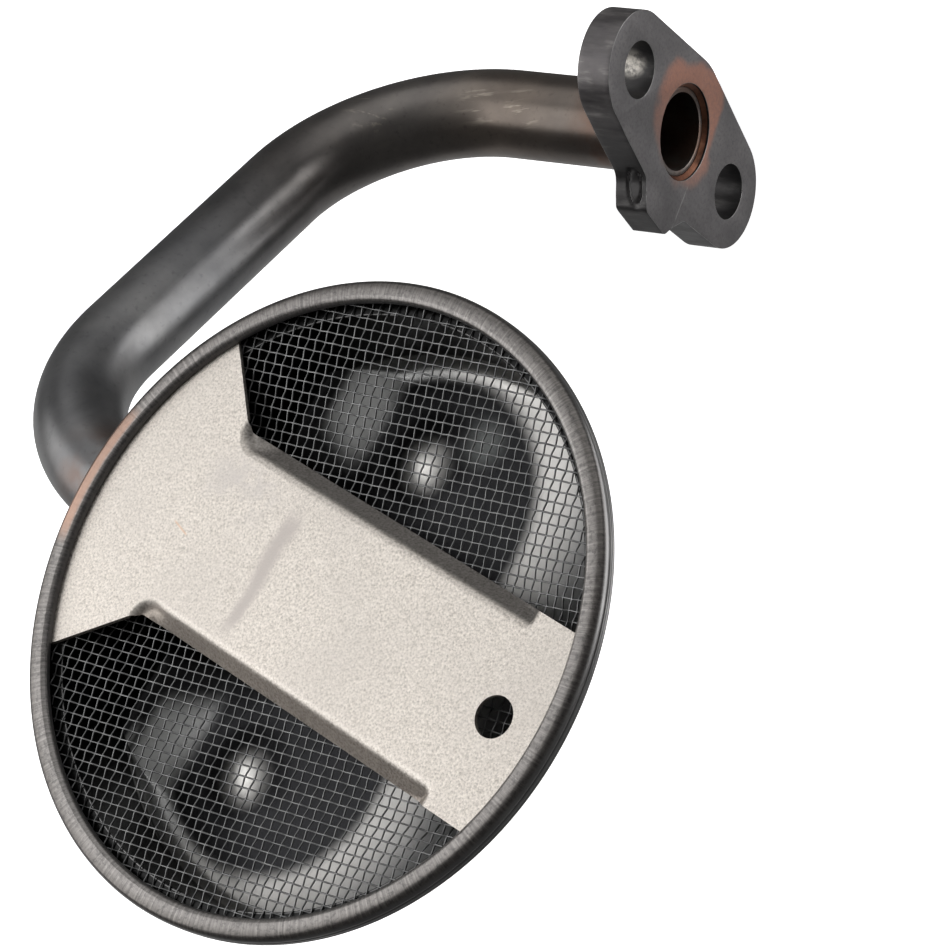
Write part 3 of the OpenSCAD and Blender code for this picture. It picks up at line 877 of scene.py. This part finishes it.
def cup_steel():
    """Pressed steel with marks across the flat of the rim and a copper tint by the tube, painted
    shade in the screen's slot and on the outer part of the rim's flat, and painted light and shade
    inside.
    """
    s = Shader("cup_steel", Metallic=0.85)
    x, y, z = s.in_mm(CUP)
    out = s.length(x, y)
    base = s.ramp(s.noise(90, 5, 0.6), (0.3, (0.15, 0.147, 0.147)), (0.55, (0.21, 0.206, 0.205)),
                  (0.8, (0.29, 0.284, 0.278)))
    around = s.nodes.new("ShaderNodeUVMap")
    around.uv_map = "around"
    marks_at = s.nodes.new("ShaderNodeMapping")
    marks_at.inputs["Scale"].default_value = (620.0, 1.0, 1.0)
    s.links.new(around.outputs["UV"], marks_at.inputs["Vector"])
    fine = s.noise(1.0, 3, 0.7, marks_at.outputs["Vector"])
    speck = s.noise(1500, 3, 0.7)
    layer = s.parts(around.outputs["UV"])[1]
    base = s.mix(s.span(layer, 0.2, 0.8, 1.0, 0.0), base, cup_inside(s, x, y, z))
    on_rim = s.times(s.span(layer, 0.6, 0.95), s.span(layer, 1.05, 1.4, 1.0, 0.0))
    # Painted shade in the screen's slot under the lip.
    slot_shade = s.times(on_rim, s.span(out, LIP_R + 1.3, LIP_R + 1.5, 1.0, 0.0))
    slot_shade = s.times(slot_shade, s.span(z, LIP_Z - 0.2, LIP_Z + 0.1, 1.0, 0.0))
    base = s.mix(slot_shade, base, (0.012, 0.012, 0.012))
    flat = s.times(on_rim, s.span(z, ROLL_R - 0.9, ROLL_R - 0.3))
    face = s.ramp(fine, (0.3, (0.125, 0.118, 0.113)), (0.5, (0.225, 0.212, 0.203)),
                  (0.72, (0.37, 0.35, 0.333)))
    face = s.mix(s.span(speck, 0.46, 0.68, 0.0, 0.75), face, (0.11, 0.105, 0.102))
    # Painted shade: the rim's flat is darker towards its outer edge.
    face = s.mix(s.span(out, 48.0, 49.2), face, (0.62, 0.61, 0.60), "MULTIPLY")
    tint = s.times(s.near(cup_point(-47.5, 0.5, ROLL_R), 8.5, 12.5), s.span(out, 47.2, 47.9))
    tint = s.times(tint, s.span(s.noise(260, 3), 0.2, 0.5, 0.4, 0.85))
    face = s.mix(tint, face, (0.38, 0.245, 0.187))
    base = s.mix(flat, base, face)
    s.colour(base)
    s.rough(s.span(s.noise(60, 3), 0.3, 0.7, 0.28, 0.36))
    s.bump(s.times(fine, flat), 0.3, 0.15)
    return s.material


def screen_wire():
    """Bright drawn wire with a dull film."""
    s = Shader("screen_wire", Metallic=0.9)
    base = s.ramp(s.noise(400, 3), (0.3, (0.135, 0.136, 0.138)), (0.7, (0.245, 0.245, 0.243)))
    s.colour(base)
    s.rough(s.span(s.noise(700, 2), 0.3, 0.7, 0.3, 0.45))
    return s.material


def strap_steel():
    """Pale plated sheet with a fine grain, a crease drawn as a line of painted shade, a grey smear,
    a thin rust scratch and painted shade on its bent-down sides.
    """
    s = Shader("strap_steel", Metallic=0.85)
    grain = s.noise(2700, 3, 0.65)
    cloud = s.noise(55, 4, 0.55)
    base = s.ramp(grain, (0.3, (0.34, 0.308, 0.275)), (0.5, (0.655, 0.607, 0.553)),
                  (0.7, (0.90, 0.848, 0.785)))
    base = s.mix(s.span(cloud, 0.35, 0.75, 0.0, 0.3), base, (0.52, 0.485, 0.45))
    x, y, z = s.in_mm(CUP @ Matrix.Rotation(STRAP_TURN, 4, "Z"))
    # A real crease in the sheet, drawn only as a darker line: its shade is painted.
    crease = s.calc("ABSOLUTE", s.calc("ADD", x, s.span(s.noise(120, 2), 0.2, 0.8, 9.6, 11.4)))
    crease = s.span(crease, 0.3, 2.2, 1.0, 0.0)
    crease = s.times(crease, s.span(s.calc("ABSOLUTE", y), 7.5, 11.5, 1.0, 0.0))
    base = s.mix(s.times(crease, 0.85), base, (0.46, 0.42, 0.395))
    smear = s.times(s.span(s.gap(x, -22), 3, 10, 1.0, 0.0), s.span(s.gap(y, 9), 1.5, 6, 1.0, 0.0))
    smear = s.times(smear, s.span(s.noise(160, 4, 0.6), 0.4, 0.62))
    base = s.mix(s.times(smear, 0.65), base, (0.545, 0.51, 0.485))
    scratch = s.calc("ABSOLUTE", s.calc("ADD", s.times(x, 0.25), s.calc("ADD", y, 8.0)))
    scratch = s.span(scratch, 0.05, 0.22, 1.0, 0.0)
    scratch = s.times(scratch, s.span(s.gap(x, -28.6), 1.2, 2.0, 1.0, 0.0))
    base = s.mix(s.times(scratch, 0.6), base, (0.66, 0.42, 0.26))
    # Painted shade: the bent-down sides are darkened, the side at positive y more than the other.
    low = s.span(z, LIP_Z - 0.9, LIP_Z - 0.15, 1.0, 0.0)
    shade = s.mix(s.span(y, -2, 2), (0.63, 0.60, 0.58), (0.40, 0.40, 0.405))
    base = s.mix(low, base, shade, "MULTIPLY")
    s.colour(base)
    s.rough(s.span(grain, 0.3, 0.7, 0.42, 0.56))
    s.bump(grain, 0.3, 0.08)
    return s.material


def floor_white():
    """The plain pale floor."""
    s = Shader("floor_white", Roughness=0.9)
    s.colour(s.ramp(s.noise(3, 2), (0.3, (0.92, 0.92, 0.92)), (0.7, (0.94, 0.94, 0.94))))
    s.shader.inputs["Emission Color"].default_value = (1.0, 1.0, 1.0, 1.0)
    s.shader.inputs["Emission Strength"].default_value = 1.0
    return s.material


def dress(piece, material):
    piece.data.materials.clear()
    piece.data.materials.append(material)


def make_floor():
    """A pale floor that curves up far away. It shows, but throws no light back on the part."""
    mesh = bpy.data.meshes.new("floor")
    low = cad_box[0][2] - FLOOR_BELOW
    rings = [(FLOOR_FLAT * t, low) for t in (0.02, 0.5, 1.0)]
    for a in np.linspace(0, FLOOR_SWEEP, 24)[1:]:
        rings.append((FLOOR_FLAT + FLOOR_BEND * math.sin(a), low + FLOOR_BEND * (1 - math.cos(a))))
    around = full_circle(FLOOR_SIDES)
    points = [(r * math.cos(a), r * math.sin(a), z) for r, z in rings for a in around]
    faces = ring_faces(len(rings), FLOOR_SIDES, False) + [tuple(range(FLOOR_SIDES))]
    mesh.from_pydata(points, [], faces)
    mesh.polygons.foreach_set("use_smooth", [True] * len(mesh.polygons))
    floor = bpy.data.objects.new("floor", mesh)
    bpy.context.scene.collection.objects.link(floor)
    floor.data.materials.append(floor_white())
    floor.visible_diffuse = False
    floor.visible_glossy = False
    floor.visible_shadow = False


def camera_axes():
    right = Vector(CAMERA_RIGHT).normalized()
    up = (Vector(CAMERA_UP) - right * right.dot(Vector(CAMERA_UP))).normalized()
    return right, up, right.cross(up)


def make_camera():
    right, up, back = camera_axes()
    camera = bpy.data.cameras.new("camera")
    camera.sensor_width = 36.0
    camera.lens = camera.sensor_width * FOCAL_PX / FRAME_PX
    camera.clip_start = 0.01
    camera.clip_end = 20.0
    seen = bpy.data.objects.new("camera", camera)
    seen.matrix_world = Matrix((
        (right.x, up.x, back.x, CAMERA_AT[0] * MM),
        (right.y, up.y, back.y, CAMERA_AT[1] * MM),
        (right.z, up.z, back.z, CAMERA_AT[2] * MM),
        (0, 0, 0, 1),
    ))
    bpy.context.scene.collection.objects.link(seen)
    bpy.context.scene.camera = seen


def soft_light(name, side, rise, spread, strength):
    """A soft box, placed by its angles to the right of the camera and above it.

    The angles, like the spread of the box, are in degrees, as seen from the part.
    """
    right, up, back = camera_axes()
    aim = Vector([(a + b) / 2 for a, b in zip(*cad_box)])
    a, b = math.radians(side), math.radians(rise)
    way = right * math.sin(a) * math.cos(b) + up * math.sin(b) + back * math.cos(a) * math.cos(b)
    across = (right * math.cos(a) - back * math.sin(a)).normalized()
    tall = way.cross(across)
    light = bpy.data.lights.new(name, "AREA")
    light.shape = "RECTANGLE"
    width, height = [2 * LIGHT_AWAY * math.tan(math.radians(angle / 2)) for angle in spread]
    light.size, light.size_y = width, height
    light.energy = strength * math.pi * light.size * light.size_y
    lamp = bpy.data.objects.new(name, light)
    lamp.matrix_world = Matrix((
        (across.x, tall.x, way.x, aim.x + way.x * LIGHT_AWAY),
        (across.y, tall.y, way.y, aim.y + way.y * LIGHT_AWAY),
        (across.z, tall.z, way.z, aim.z + way.z * LIGHT_AWAY),
        (0, 0, 0, 1),
    ))
    lamp.visible_camera = False
    bpy.context.scene.collection.objects.link(lamp)


def make_lights():
    world = bpy.data.worlds.new("studio")
    world.use_nodes = True
    world.node_tree.nodes["Background"].inputs["Color"].default_value = (1.0, 1.0, 1.0, 1.0)
    world.node_tree.nodes["Background"].inputs["Strength"].default_value = 0.1
    bpy.context.scene.world = world
    bpy.context.scene.view_settings.view_transform = "Standard"
    soft_light("left_box", -84, 6, (54, 52), 2.2)
    soft_light("front_box", -38, 22, (44, 44), 0.35)
    soft_light("top_box", -30, 66, (75, 45), 0.95)
    soft_light("right_box", 84, 20, (36, 52), 3.0)
    soft_light("back_box", 180, -20, (110, 70), 0.4)


make_camera()
make_lights()
make_floor()
dress(make_tube(), tube_steel())
dress(make_cup(), cup_steel())
wire = screen_wire()
dress(make_wires("screen_warp", False), wire)
dress(make_wires("screen_weft", True), wire)
dress(make_strap(), strap_steel())
make_flange()
copper = copper_braze()
for node_name in ("flange_braze", "cup_braze"):
    dress(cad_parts[node_name], copper)
